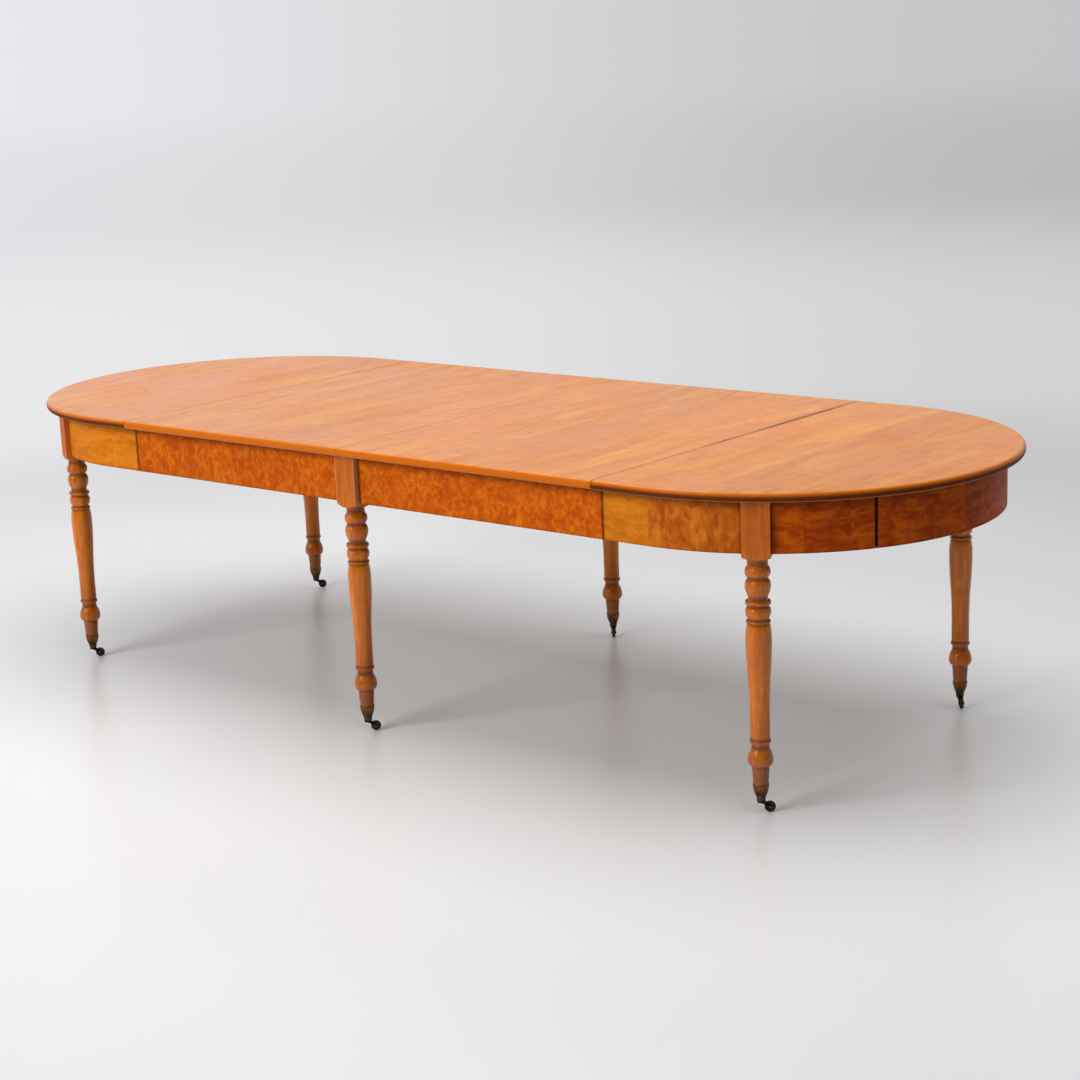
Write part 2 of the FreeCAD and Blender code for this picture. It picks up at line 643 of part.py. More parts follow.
def caster_horn(label, x, y, turn):
    """Forked horn that carries the wheel behind the swivel axis, with its swivel pin."""
    quarter = "CheekRadius * (1 - sqrt(0.5))"
    stations = [
        ("-HornRoot", "PlateBottom", None),
        ("SwivelDiameter / 2", "PlateBottom", "HornCrest"),
        ("WheelTrail + CheekRadius", "WheelRadius", quarter),
        ("WheelTrail", "WheelRadius - CheekRadius", quarter),
        ("WheelTrail - CheekRadius", "WheelRadius", "0 - HornThroat"),
    ]
    cheeks = padded(f"{label}_cheeks", stations, "XZ_Plane", "HornWidth", midway=True)
    plate = cylinder(f"{label}_plate", "SwivelDiameter / 2", "SwivelThickness", z="PlateBottom")
    pin = cylinder(f"{label}_pin", "PintleDiameter / 2", "SwivelThickness + PintleLength", z="PlateBottom")
    slot = drum(f"{label}_slot", "WheelRadius + WheelClear", "WheelWidth + 2 * WheelPlay")
    eye = drum(f"{label}_eye", "AxleDiameter / 2 + RunningFit", "2 * HornWidth")
    for tool in (slot, eye):
        place(tool, "WheelTrail", "0", "WheelRadius")
    horn = cut(label, fuse(f"{label}_solid", cheeks, plate, pin), slot, eye)
    return node(place(horn, x, y, turn=turn), label)


def drum(name, radius, width):
    """A plain cylinder that lies along Y, middle at the origin."""
    half = f"({width}) / 2"
    stations = [
        ("0", half, None),
        (radius, half, None),
        (radius, f"-{half}", None),
        ("0", f"-{half}", None),
    ]
    return revolved(name, stations, "XY_Plane")


def caster_wheel(label, x, y, turn):
    """Crowned wheel that turns on the axle pin."""
    bore = "AxleDiameter / 2 + RunningFit"
    edge = "WheelRadius - WheelCrown"
    stations = [
        (bore, "WheelWidth / 2", None),
        (edge, "WheelWidth / 2", "WheelCrown"),
        (edge, "-WheelWidth / 2", None),
        (bore, "-WheelWidth / 2", None),
    ]
    return node(place(revolved(label, stations, "XY_Plane"), x, y, "WheelRadius", turn), label)


def caster_axle(label, x, y, turn):
    """Axle pin, riveted over outside both cheeks of the horn."""
    shank = "HornWidth / 2"
    tip = "HornWidth / 2 + AxleHeadLength"
    stations = [
        ("0", tip, None),
        ("AxleHeadDiameter / 2", tip, None),
        ("AxleHeadDiameter / 2", shank, None),
        ("AxleDiameter / 2", shank, None),
        ("AxleDiameter / 2", f"-({shank})", None),
        ("AxleHeadDiameter / 2", f"-({shank})", None),
        ("AxleHeadDiameter / 2", f"-({tip})", None),
        ("0", f"-({tip})", None),
    ]
    return node(place(revolved(label, stations, "XY_Plane"), x, y, "WheelRadius", turn), label)


def caster(key, x, y, turn_cell):
    """The turning pieces of one caster, trailing the way its cell says."""
    axle_x = f"({x}) + WheelTrail * cos({turn_cell} * 1 deg)"
    axle_y = f"({y}) + WheelTrail * sin({turn_cell} * 1 deg)"
    caster_horn(f"{key}_caster_horn", x, y, turn_cell)
    caster_axle(f"{key}_caster_axle", axle_x, axle_y, turn_cell)
    caster_wheel(f"{key}_caster_wheel", axle_x, axle_y, turn_cell)


# Centre frame
for flank, sign in FLANKS.items():
    centre_leg = leg(f"{flank}_centre_leg", [rail_mortise(f"{flank}_centre_leg")])
    place(centre_leg, "0", f"{sign} * CentreLegY", turn="0" if sign < 0 else "180")
    centre_runner(f"centre_runner_{flank}", sign)
cross_rail("centre_cross_rail")

# Rounded ends: the left one is the right one turned half round
for end, side in ENDS.items():
    end_top(f"{end}_end_top", side)
    for flank, flank_sign in FLANKS.items():
        sign = flank_sign * side
        leg_angle, apron_start = ("LegAngle", "0") if sign < 0 else ("180 - LegAngle", "180 - LegAngle")
        end_leg = leg(f"{flank}_{end}_leg", apron_mortises(f"{flank}_{end}_leg"))
        place(end_leg, "EndLegX", f"{sign} * EndLegY", turn=leg_angle, side=side)
        end_return(f"{end}_end_return_{flank}", sign, side)
        end_runner(f"{end}_end_runner_{flank}", sign, side)
        curved_apron(f"{end}_end_curve_{flank}", apron_start, "LegAngle", [(leg_angle, sign)], side)
    curved_apron(f"{end}_end_curve", "LegAngle", "180 - 2 * LegAngle",
                 [("LegAngle", 1), ("180 - LegAngle", -1)], side, slit=True)
    rail_reach = "(ApronBack + EndRailTenon)"
    node(box(f"{end}_end_cross_rail", "EndFace + EndRailInset", f"-{rail_reach}", "ApronBottom",
             "EndRailThickness", f"2 * {rail_reach}", "RailHeight", side=side), f"{end}_end_cross_rail")
    group(f"{end}_end_leaf_bearers", [
        box(f"{end}_bearer_{flank}", "EndFace - BearerReach",
            band("BearerOffset - BearerWidth / 2", "BearerWidth", sign), "TopUnderside - BearerThickness",
            "BearerLength", "BearerWidth", "BearerThickness", side=side)
        for flank, sign in FLANKS.items()])

# Loose leaves
for end, side in ENDS.items():
    leaf_top(f"{end}_leaf_top", side)
    for flank, flank_sign in FLANKS.items():
        node(box(f"{end}_leaf_apron_{flank}", "HalfBlock + HeadGap",
                 band("ApronBack", "ApronThickness", flank_sign * side), "ApronBottom",
                 "LeafStart + LeafLength - HalfBlock - HeadGap", "ApronThickness",
                 "ApronHeight + LeafSeat", side=side), f"{end}_leaf_apron_{flank}")
    group(f"{end}_leaf_battens", [
        box(f"{end}_batten_{flank}", "LeafStart + BattenMargin",
            band("ApronBack - BattenInset - BattenWidth", "BattenWidth", sign),
            "LeafUnderside - BattenThickness",
            "LeafLength - 2 * BattenMargin", "BattenWidth", "BattenThickness", side=side)
        for flank, sign in FLANKS.items()])

# Casters, one under each leg, named like the legs
LEG_PLACES = {
    "left": ("-EndLegX", "EndLegY"),
    "centre": ("0", "CentreLegY"),
    "right": ("EndLegX", "EndLegY"),
}
for place_name, (leg_x, leg_y) in LEG_PLACES.items():
    cups = []
    for flank, sign in FLANKS.items():
        key = f"{flank}_{place_name}"
        y = f"{sign} * {leg_y}"
        cups.append(caster_cup(f"{key}_cup", leg_x, y))
        caster(key, leg_x, y, f"Turn{flank.title()}{place_name.title()}")
    group(f"{place_name}_caster_cups", cups)

doc.recompute()

for obj in doc.Objects:
    if {"Invalid", "Error"} & set(obj.State):
        raise RuntimeError(f"{obj.Name} failed: {obj.State}")
for obj in nodes:
    if obj.Shape.isNull() or not obj.Shape.isValid():
        raise RuntimeError(f"{obj.Label} has no valid shape")

os.makedirs("parts", exist_ok=True)
for obj in nodes:
    obj.Shape.exportStep(f"parts/{obj.Label}.step")
print(len(nodes), "nodes")
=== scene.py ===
import math

import bmesh
import bpy
from mathutils import Matrix, Vector


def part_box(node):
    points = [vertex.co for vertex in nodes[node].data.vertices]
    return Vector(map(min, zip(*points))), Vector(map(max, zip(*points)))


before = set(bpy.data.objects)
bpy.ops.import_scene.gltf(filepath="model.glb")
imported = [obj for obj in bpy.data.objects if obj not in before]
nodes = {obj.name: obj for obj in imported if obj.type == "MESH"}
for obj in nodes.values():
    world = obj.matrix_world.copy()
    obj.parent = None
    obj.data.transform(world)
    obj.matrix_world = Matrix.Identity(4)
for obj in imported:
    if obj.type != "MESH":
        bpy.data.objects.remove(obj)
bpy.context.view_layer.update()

# Camera of the photograph
CAMERA_PLACE = Vector((3.7578, -4.3165, 1.7499))
CAMERA_AZIMUTH = math.radians(39.764)
CAMERA_ELEVATION = math.radians(13.371)
CAMERA_ROLL = -0.03981
CAMERA_LENS = 72.25
SENSOR_WIDTH = 36.0

# Plan of the table, for grain that follows the curved ends
END_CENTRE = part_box("right_end_curve_front")[0].x
APRON_RADIUS = -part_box("right_leaf_apron_front")[0].y
APRON_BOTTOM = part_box("right_leaf_apron_front")[0].z
APRON_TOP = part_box("right_end_return_front")[1].z
TOP_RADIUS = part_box("right_leaf_top")[1].y
TOP_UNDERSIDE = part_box("right_end_top")[0].z
LEAF_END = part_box("right_leaf_top")[1].x
SEAM = (LEAF_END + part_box("right_end_top")[0].x) / 2.0
CUP_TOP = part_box("right_caster_cups")[1].z
LEG_ANGLE = math.radians(27.5)
HALF_HEAD = 0.032
FOOT_TOP = 0.112

# Wood without polish, on undersides and inner faces
RAW_WOOD = (0.34, 0.20, 0.095)

# Range that most of a noise lies in
NOISE_LOW, NOISE_HIGH = 0.3, 0.7


class Shader:
    """The node tree of a material or the world, with short ways to add and join nodes."""

    def __init__(self, tree):
        self.tree = tree
        tree.nodes.clear()

    def add(self, kind, inputs, **settings):
        """A node with its settings, and its inputs set to values or joined to other nodes."""
        node = self.tree.nodes.new(kind)
        for key, value in settings.items():
            setattr(node, key, value)
        for key, value in inputs.items():
            if isinstance(value, bpy.types.NodeSocket):
                self.tree.links.new(value, node.inputs[key])
            else:
                node.inputs[key].default_value = value
        return node

    def coords(self):
        """Places on the table, in metres from its origin."""
        return self.add("ShaderNodeTexCoord", {}).outputs["Object"]

    def split(self, vector):
        """The X, Y and Z of a vector."""
        return self.add("ShaderNodeSeparateXYZ", {"Vector": vector}).outputs

    def join(self, x, y, z):
        """A vector from its X, Y and Z."""
        return self.add("ShaderNodeCombineXYZ", {"X": x, "Y": y, "Z": z}).outputs["Vector"]

    def math(self, operation, *values):
        """The result of an operation on values."""
        inputs = dict(enumerate(values))
        return self.add("ShaderNodeMath", inputs, operation=operation).outputs[0]

    def vector(self, operation, inputs, output="Vector"):
        """The result of an operation on vectors, as a Vector or a Value."""
        return self.add("ShaderNodeVectorMath", inputs, operation=operation).outputs[output]

    def away(self, value, place):
        """How far a value is from a place, on either side."""
        return self.math("ABSOLUTE", self.math("SUBTRACT", value, place))

    def noise(self, vector, per_metre, detail=3.0, rough=0.55, twist=0.0):
        """Noise with this many patches to the metre along X, Y and Z."""
        scaled = self.add("ShaderNodeMapping", {"Vector": vector, "Scale": per_metre}).outputs["Vector"]
        inputs = {"Vector": scaled, "Scale": 1.0, "Detail": detail, "Roughness": rough, "Distortion": twist}
        return self.add("ShaderNodeTexNoise", inputs).outputs["Fac"]

    def chance(self, number):
        """A fixed random value and colour for each whole number."""
        return self.add("ShaderNodeTexWhiteNoise", {"W": number}, noise_dimensions="1D").outputs

    def spread(self, value, low, high, out_low=0.0, out_high=1.0):
        """Stretches low to high onto out_low to out_high, smoothly and without going past."""
        inputs = {"Value": value, "From Min": low, "From Max": high, "To Min": out_low, "To Max": out_high}
        return self.add("ShaderNodeMapRange", inputs, interpolation_type="SMOOTHSTEP").outputs["Result"]

    def vary(self, noise, out_low, out_high):
        """Stretches a noise onto out_low to out_high."""
        return self.spread(noise, NOISE_LOW, NOISE_HIGH, out_low, out_high)

    def ramp(self, value, stops):
        """Colours along a value; stops are (place, (red, green, blue))."""
        node = self.add("ShaderNodeValToRGB", {"Fac": value})
        elements = node.color_ramp.elements
        while len(elements) < len(stops):
            elements.new(0.5)
        for element, (place, colour) in zip(elements, stops):
            element.position = place
            element.color = (*colour, 1.0)
        return node.outputs["Color"]

    def grade(self, value, tones, turn=0.5):
        """Three tones along a value from nought to one; turn is the place of the middle one."""
        first, middle, last = tones
        return self.ramp(value, [(0.0, first), (turn, middle), (1.0, last)])

    def mix(self, factor, first, second, blend="MIX"):
        """Two colours mixed."""
        node = self.add("ShaderNodeMix", {0: factor}, data_type="RGBA", blend_type=blend)
        for index, colour in ((6, first), (7, second)):
            if isinstance(colour, bpy.types.NodeSocket):
                self.tree.links.new(colour, node.inputs[index])
            else:
                node.inputs[index].default_value = (*colour, 1.0)
        return node.outputs[2]

    def tint(self, colour, factor):
        """Makes a colour lighter or darker by a factor around one."""
        return self.mix(1.0, colour, self.join(factor, factor, factor), "MULTIPLY")

    def bump(self, height, strength, distance, before=None):
        """The normal of a surface that height raises by up to distance, on top of an earlier normal."""
        inputs = {"Height": height, "Strength": strength, "Distance": distance}
        if before is not None:
            inputs["Normal"] = before
        return self.add("ShaderNodeBump", inputs).outputs["Normal"]

    def principled(self, inputs):
        """A plain surface with these inputs."""
        return self.add("ShaderNodeBsdfPrincipled", inputs).outputs["BSDF"]

    def surface(self, shader):
        """Makes this the material's surface."""
        self.add("ShaderNodeOutputMaterial", {"Surface": shader})


def new_shader(name):
    """A new material and its empty node tree."""
    material = bpy.data.materials.new(name)
    material.use_nodes = True
    return material, Shader(material.node_tree)


POLISH_IOR = 1.5


def polished(shader, colour, roughness, normal, gloss):
    """Thin old polish over wood."""
    shader.surface(shader.principled({
        "Base Color": colour, "Roughness": roughness, "Normal": normal, "IOR": POLISH_IOR,
        "Specular IOR Level": gloss}))


def metal(shader, colour, roughness, normal, metallic):
    """Bare metal, or metal under dirt where metallic is below one."""
    shader.surface(shader.principled({
        "Base Color": colour, "Roughness": roughness, "Normal": normal, "Metallic": metallic}))


# Far apart, so that the grain differs in each quarter of the table
GRAIN_SHIFT_ALONG, GRAIN_SHIFT_ACROSS = 7.0, 19.0


def plan_place(shader):
    """Where a point lies on the table: along its edge from the middle, up, round the end and outward."""
    axes = shader.split(shader.coords())
    length = shader.math("ABSOLUTE", axes["X"])
    across = shader.math("ABSOLUTE", axes["Y"])
    beyond = shader.math("MAXIMUM", shader.math("SUBTRACT", length, END_CENTRE), 0.0)
    straight = shader.math("MINIMUM", length, END_CENTRE)
    angle = shader.math("ARCTAN2", beyond, across)
    along = shader.math("MULTIPLY_ADD", angle, APRON_RADIUS, straight)
    sides = shader.math("MULTIPLY_ADD", shader.math("SIGN", axes["X"]), GRAIN_SHIFT_ALONG, along)
    quarter = shader.math("MULTIPLY_ADD", shader.math("SIGN", axes["Y"]), GRAIN_SHIFT_ACROSS, sides)
    out = shader.vector("LENGTH", {0: shader.join(beyond, across, 0.0)}, "Value")
    return {"along": quarter, "length": length, "up": axes["Z"], "round": angle, "out": out}


# Boards of the top: tones from dark to light, a rosy cast in clouds, dark flecks
BOARDS_PER_LEAF = 3
BOARD_SHIFT = (7.0, 7.0, 7.0)
BOARD_TINT = (0.95, 1.03)
TOP_TONES = ((0.59, 0.190, 0.032), (0.67, 0.237, 0.041), (0.73, 0.284, 0.052))
TOP_STREAKS = (0.32, 0.68)
ROSE = (0.66, 0.220, 0.054)
ROSE_CLOUDS = (0.42, 0.64)
ROSE_COVER = 0.9
FLECK = (0.42, 0.100, 0.008)
FLECK_PEAKS = (0.64, 0.76)
FLECK_COVER = 0.4
CURL_TINT = (0.93, 1.06)
TOP_FIBRE_TINT = (0.96, 1.03)
# Stain along the seams, in patches, fainter at the front and on the left
STAIN = (0.24, 0.066, 0.010)
STAIN_REACH = (0.002, 0.015)
STAIN_PATCHES = (0.38, 0.62)
STAIN_FAINT = 0.35
STAIN_FRONT, STAIN_BACK = -0.5 * TOP_RADIUS, 0.1 * TOP_RADIUS
STAIN_AT_FRONT = 0.15
STAIN_MIDDLE = 0.1
STAIN_ON_LEFT = 0.4
# Rim: amber, with painted shade from below that reaches higher on the ends than on the leaves
RIM_AMBER, RIM_SHADE = (0.60, 0.128, 0.003), (0.085, 0.013, 0.001)
RIM_REACH = (TOP_RADIUS - 0.006, TOP_RADIUS - 0.001)
RIM_COVER = 0.95
RIM_SHADE_HEIGHT = 0.010
LEAF_RIM_SHADE_SHIFT, END_RIM_SHADE_SHIFT = -0.006, 0.009
SEAM_BLUR = 0.001
FACING_DOWN = (-0.95, -0.75)
TOP_ROUGHNESS = (0.18, 0.29)
LOW_RIM_ROUGHNESS = 0.35
TOP_GLOSS = 0.09
# Relief of each wood: strength and height of its waves and of its fibres
TOP_WAVES, TOP_FIBRES = (0.12, 0.0012), (0.06, 0.0004)


def top_wood():
    """Birch boards across the table, each with its own tone, dark on the rim, stained along the seams."""
    material, shader = new_shader("polished_birch_top")
    place = shader.coords()
    axes = shader.split(place)
    length = shader.math("ABSOLUTE", axes["X"])
    board = shader.math("FLOOR", shader.math("MULTIPLY", axes["X"], BOARDS_PER_LEAF / LEAF_END))
    luck = shader.chance(board)
    shift = shader.vector("MULTIPLY_ADD", {0: luck["Color"], 1: BOARD_SHIFT, 2: place})
    cloud = shader.noise(shift, (8.0, 3.0, 8.0), twist=0.6)
    streak = shader.noise(shift, (17.0, 2.2, 17.0), detail=4.0, rough=0.6, twist=0.9)
    fibre = shader.noise(shift, (300.0, 8.0, 300.0))
    curl = shader.noise(shift, (20.0, 34.0, 20.0), twist=0.9)
    fleck = shader.noise(shift, (120.0, 14.0, 120.0), detail=2.0)
    smudge = shader.noise(place, (4.0, 3.0, 4.0))
    patch = shader.noise(place, (3.0, 2.6, 3.0), detail=2.0)
    wave = shader.noise(place, (11.0, 5.0, 11.0), detail=1.0)
    base = shader.grade(shader.spread(streak, *TOP_STREAKS), TOP_TONES)
    rosy = shader.mix(shader.spread(cloud, *ROSE_CLOUDS, 0.0, ROSE_COVER), base, ROSE)
    toned = shader.tint(rosy, shader.spread(luck["Value"], 0.0, 1.0, *BOARD_TINT))
    curled = shader.tint(toned, shader.vary(curl, *CURL_TINT))
    lined = shader.tint(curled, shader.vary(fibre, *TOP_FIBRE_TINT))
    flecked = shader.mix(shader.spread(fleck, *FLECK_PEAKS, 0.0, FLECK_COVER), lined, FLECK)
    patchy = shader.spread(patch, *STAIN_PATCHES, STAIN_FAINT, 1.0)
    to_back = shader.spread(axes["Y"], STAIN_FRONT, STAIN_BACK, STAIN_AT_FRONT, 1.0)
    to_right = shader.spread(axes["X"], -STAIN_MIDDLE, STAIN_MIDDLE, STAIN_ON_LEFT, 1.0)
    stain = shader.math("MULTIPLY", patchy, shader.math("MULTIPLY", to_back, to_right))
    by_seam = shader.spread(shader.away(length, SEAM), *STAIN_REACH, 1.0, 0.0)
    stained = shader.mix(shader.math("MULTIPLY", stain, by_seam), flecked, STAIN)
    # Painted shade on the lower part of the rim, reaching higher on the ends than on the leaves
    zoned = shader.spread(length, SEAM - SEAM_BLUR, SEAM + SEAM_BLUR, LEAF_RIM_SHADE_SHIFT, END_RIM_SHADE_SHIFT)
    in_rim = shader.math("SUBTRACT", axes["Z"], zoned)
    rim_shade_mask = shader.spread(in_rim, TOP_UNDERSIDE, TOP_UNDERSIDE + RIM_SHADE_HEIGHT, 1.0, 0.0)
    rim = shader.mix(rim_shade_mask, RIM_AMBER, RIM_SHADE)
    on_rim = shader.spread(plan_place(shader)["out"], *RIM_REACH, 0.0, RIM_COVER)
    rimmed = shader.mix(on_rim, stained, rim)
    upright = shader.split(shader.add("ShaderNodeNewGeometry", {}).outputs["Normal"])["Z"]
    edged = shader.mix(shader.spread(upright, *FACING_DOWN, 1.0, 0.0), rimmed, RAW_WOOD)
    rubbed = shader.vary(smudge, *TOP_ROUGHNESS)
    roughness = shader.math("MULTIPLY_ADD", rim_shade_mask, LOW_RIM_ROUGHNESS, rubbed)
    normal = shader.bump(fibre, *TOP_FIBRES, before=shader.bump(wave, *TOP_WAVES))
    polished(shader, edged, roughness, normal, TOP_GLOSS)
    return material


# Veneer of the aprons, laid in sheets
VENEER_WIDTH = 0.105
VENEER_DEPTH = 0.004
FLAME_SHARE, BLOTCH_SHARE = 0.4, 0.6
FIGURE_RANGE = (0.34, 0.66)
CLOUD_TINT = (0.93, 1.06)
SHEET_DARKER, SHEET_LIGHTER = 0.14, 0.08
APRON_FIBRE_TINT = (0.93, 1.05)
# Painted shade: how much of the tone is left beside an edge, under the top, beside the heads and the seams,
# and how far the painted shade reaches
EDGE_TONE, EDGE_REACH = 0.72, 0.006
UNDER_TOP_TONE, UNDER_TOP_REACH = 0.52, 0.036
HEAD_TONE, HEAD_REACH = 0.45, 0.010
CENTRE_TONE, CENTRE_REACH = 0.25, 0.014
SEAM_TONE, SEAM_REACH = 0.45, (0.001, 0.008)
# Open joint in the veneer of the long curve, with painted shade inside it
SLIT_SHADE = (0.026, 0.012, 0.003)
SLIT_ANGLE = math.radians(56.0)
SLIT_REACH = 0.0045
SLIT_FADE = 1.3
SLIT_DEPTHS = (0.002, 0.0005)
APRON_ROUGHNESS = (0.46, 0.60)
APRON_GLOSS = 0.08
APRON_WAVES, APRON_FIBRES = (0.10, 0.0010), (0.07, 0.0003)


def apron_wood(name, tones, blotch, flame, sheet_contrast):
    """Birch veneer in sheets along the apron.

    Tones run from dark to light. Blotch and flame are the patches to the metre, along the apron and
    upward, of the small and the large figure.
    """
    material, shader = new_shader(name)
    spot = plan_place(shader)
    up, out = spot["up"], spot["out"]
    sheet = shader.math("FLOOR", shader.math("DIVIDE", spot["along"], VENEER_WIDTH))
    luck = shader.chance(sheet)["Value"]
    place = shader.join(spot["along"], shader.math("MULTIPLY", luck, sheet_contrast), up)
    small = shader.noise(place, (blotch[0], 9.0, blotch[1]), twist=0.9)
    large = shader.noise(place, (flame[0], 5.0, flame[1]), rough=0.6, twist=1.2)
    fibre = shader.noise(place, (420.0, 9.0, 22.0), detail=2.0)
    cloud = shader.noise(place, (5.0, 3.0, 4.0), detail=2.0)
    figure = shader.math("MULTIPLY_ADD", large, FLAME_SHARE, shader.math("MULTIPLY", small, BLOTCH_SHARE))
    base = shader.grade(shader.spread(figure, *FIGURE_RANGE), tones)
    warm = shader.tint(base, shader.vary(cloud, *CLOUD_TINT))
    sheet_tint = (1.0 - SHEET_DARKER * sheet_contrast, 1.0 + SHEET_LIGHTER * sheet_contrast)
    toned = shader.tint(warm, shader.spread(luck, 0.0, 1.0, *sheet_tint))
    lined = shader.tint(toned, shader.vary(fibre, *APRON_FIBRE_TINT))
    # Painted shade: darker along the bottom edge, under the top's overhang, beside the legs' heads and
    # beside the seams
    edge = shader.spread(up, APRON_BOTTOM, APRON_BOTTOM + EDGE_REACH, EDGE_TONE, 1.0)
    overhang_shadow = shader.spread(up, APRON_TOP - UNDER_TOP_REACH, APRON_TOP, 1.0, UNDER_TOP_TONE)
    head_reach = (HALF_HEAD / APRON_RADIUS, (HALF_HEAD + HEAD_REACH) / APRON_RADIUS)
    head_shadow = shader.spread(shader.away(spot["round"], LEG_ANGLE), *head_reach, HEAD_TONE, 1.0)
    centre_shadow = shader.spread(spot["length"], HALF_HEAD, HALF_HEAD + CENTRE_REACH, CENTRE_TONE, 1.0)
    by_seam = shader.spread(shader.away(spot["length"], SEAM), *SEAM_REACH, SEAM_TONE, 1.0)
    by_joint = shader.math("MULTIPLY", centre_shadow, by_seam)
    painted_shade = shader.math("MULTIPLY", shader.math("MULTIPLY", edge, by_joint),
                        shader.math("MULTIPLY", overhang_shadow, head_shadow))
    edged = shader.tint(lined, painted_shade)
    core_reach = (APRON_RADIUS - 2.0 * VENEER_DEPTH, APRON_RADIUS - VENEER_DEPTH)
    cored = shader.mix(shader.spread(out, *core_reach, 1.0, 0.0), edged, RAW_WOOD)
    # Painted shade: the inside of the open joint is painted near black
    slit_reach = (SLIT_REACH / APRON_RADIUS, SLIT_FADE * SLIT_REACH / APRON_RADIUS)
    in_slit = shader.spread(shader.away(spot["round"], SLIT_ANGLE), *slit_reach, 1.0, 0.0)
    deep, shallow = SLIT_DEPTHS
    sunk = shader.spread(out, APRON_RADIUS - deep, APRON_RADIUS - shallow, 1.0, 0.0)
    slit_shaded = shader.mix(shader.math("MULTIPLY", in_slit, sunk), cored, SLIT_SHADE)
    roughness = shader.vary(cloud, *APRON_ROUGHNESS)
    normal = shader.bump(fibre, *APRON_FIBRES, before=shader.bump(large, *APRON_WAVES))
    polished(shader, slit_shaded, roughness, normal, APRON_GLOSS)
    return material


# Turned wood of the legs, tones from dark to light
LEG_WOOD = ((0.510, 0.116, 0.001), (0.600, 0.150, 0.002), (0.700, 0.202, 0.005))
LEG_STREAKS = (0.28, 0.72)
MOTTLE_RANGE, MOTTLE_TINT = (0.32, 0.7), (0.92, 1.08)
LEG_FIBRE_TINT = (0.88, 1.08)
# How much of the wood's colour is kept, by height: dark collar, pale shaft, deep head
LEG_TONES = [
    (0.115, (0.72, 0.66, 0.60)), (0.170, (0.70, 0.62, 0.55)), (0.250, (0.95, 0.95, 0.95)),
    (0.340, (1.0, 1.0, 1.0)), (0.440, (0.98, 0.98, 0.98)), (0.520, (0.90, 0.86, 0.80)),
    (0.600, (0.84, 0.72, 0.60)), (0.630, (0.84, 0.70, 0.55)),
]
# Grooves of the turned legs, where old polish has gathered, and last the neck under the head, where the
# dark band is painted shade: height, and reach of the dark line
GROOVES = (
    (0.1108, 0.0045), (0.1575, 0.0080), (0.1745, 0.0050), (0.4435, 0.0045), (0.4530, 0.0045),
    (0.4850, 0.0060), (0.5020, 0.0095), (0.5480, 0.0070), (0.5830, 0.0120),
)
CLEAN, IN_GROOVE = (0.0, 0.0, 0.0), (1.0, 1.0, 1.0)
POLISH_AND_SHADE = (0.055, 0.009, 0.001)
POLISH_AND_SHADE_COVER = 0.85
# Foot that is worn above the caster's cup
FOOT_WOOD = (0.215, 0.062, 0.012)
FOOT_BLUR = 0.004
FOOT_COVER = 0.80
# Painted highlight as a pale strip on the sides of the centre legs' heads, and scuffs on all heads
HEAD_SIDE_HIGHLIGHT = (0.62, 0.300, 0.110)
HEAD_SIDE_REACH = (HALF_HEAD - 0.003, HALF_HEAD - 0.001)
HEAD_SIDE_COVER = 0.8
CENTRE_LEGS = (0.1, 0.2)
HEAD_BOTTOM = (APRON_BOTTOM - 0.01, APRON_BOTTOM)
SCUFF_ROUGHNESS = 0.4
LEG_ROUGHNESS = (0.15, 0.24)
LEG_GLOSS = 0.45
LEG_WAVES, LEG_FIBRES = (0.08, 0.0008), (0.08, 0.0003)


def leg_wood():
    """Turned birch: upright grain, lighter on the crests, old polish dark in the grooves, and painted shade
    in the neck under the head.
    """
    material, shader = new_shader("polished_birch_legs")
    place = shader.coords()
    axes = shader.split(place)
    height = axes["Z"]
    streak = shader.noise(place, (62.0, 62.0, 4.0), detail=4.0, rough=0.6, twist=0.8)
    fibre = shader.noise(place, (420.0, 420.0, 12.0), detail=2.0)
    mottle = shader.noise(place, (95.0, 95.0, 30.0), detail=2.0)
    base = shader.grade(shader.spread(streak, *LEG_STREAKS), LEG_WOOD)
    glow = shader.tint(base, shader.spread(mottle, *MOTTLE_RANGE, *MOTTLE_TINT))
    zoned = shader.mix(1.0, glow, shader.ramp(height, LEG_TONES), "MULTIPLY")
    lined = shader.tint(zoned, shader.vary(fibre, *LEG_FIBRE_TINT))
    # Old polish dark in the grooves, and painted shade in the neck under the head
    stops = []
    for groove, reach in GROOVES:
        stops += [(groove - reach, CLEAN), (groove, IN_GROOVE), (groove + reach, CLEAN)]
    polish_and_shade_mask = shader.ramp(height, stops)
    dark = shader.mix(shader.math("MULTIPLY", polish_and_shade_mask, POLISH_AND_SHADE_COVER), lined, POLISH_AND_SHADE)
    rubbed = shader.spread(height, FOOT_TOP - FOOT_BLUR, FOOT_TOP, FOOT_COVER, 0.0)
    foot = shader.mix(rubbed, dark, FOOT_WOOD)
    # Painted highlight: a pale strip on the sides of the centre legs' heads
    aside = shader.math("ABSOLUTE", axes["X"])
    on_side = shader.math("MULTIPLY", shader.spread(aside, *HEAD_SIDE_REACH),
                          shader.spread(aside, *CENTRE_LEGS, 1.0, 0.0))
    bare_and_highlight = shader.math("MULTIPLY", on_side, shader.spread(height, *HEAD_BOTTOM, 0.0, HEAD_SIDE_COVER))
    sided = shader.mix(bare_and_highlight, foot, HEAD_SIDE_HIGHLIGHT)
    scuffed = shader.spread(height, *HEAD_BOTTOM, 0.0, SCUFF_ROUGHNESS)
    roughness = shader.math("ADD", shader.vary(mottle, *LEG_ROUGHNESS), scuffed)
    normal = shader.bump(fibre, *LEG_FIBRES, before=shader.bump(streak, *LEG_WAVES))
    polished(shader, sided, roughness, normal, LEG_GLOSS)
    return material


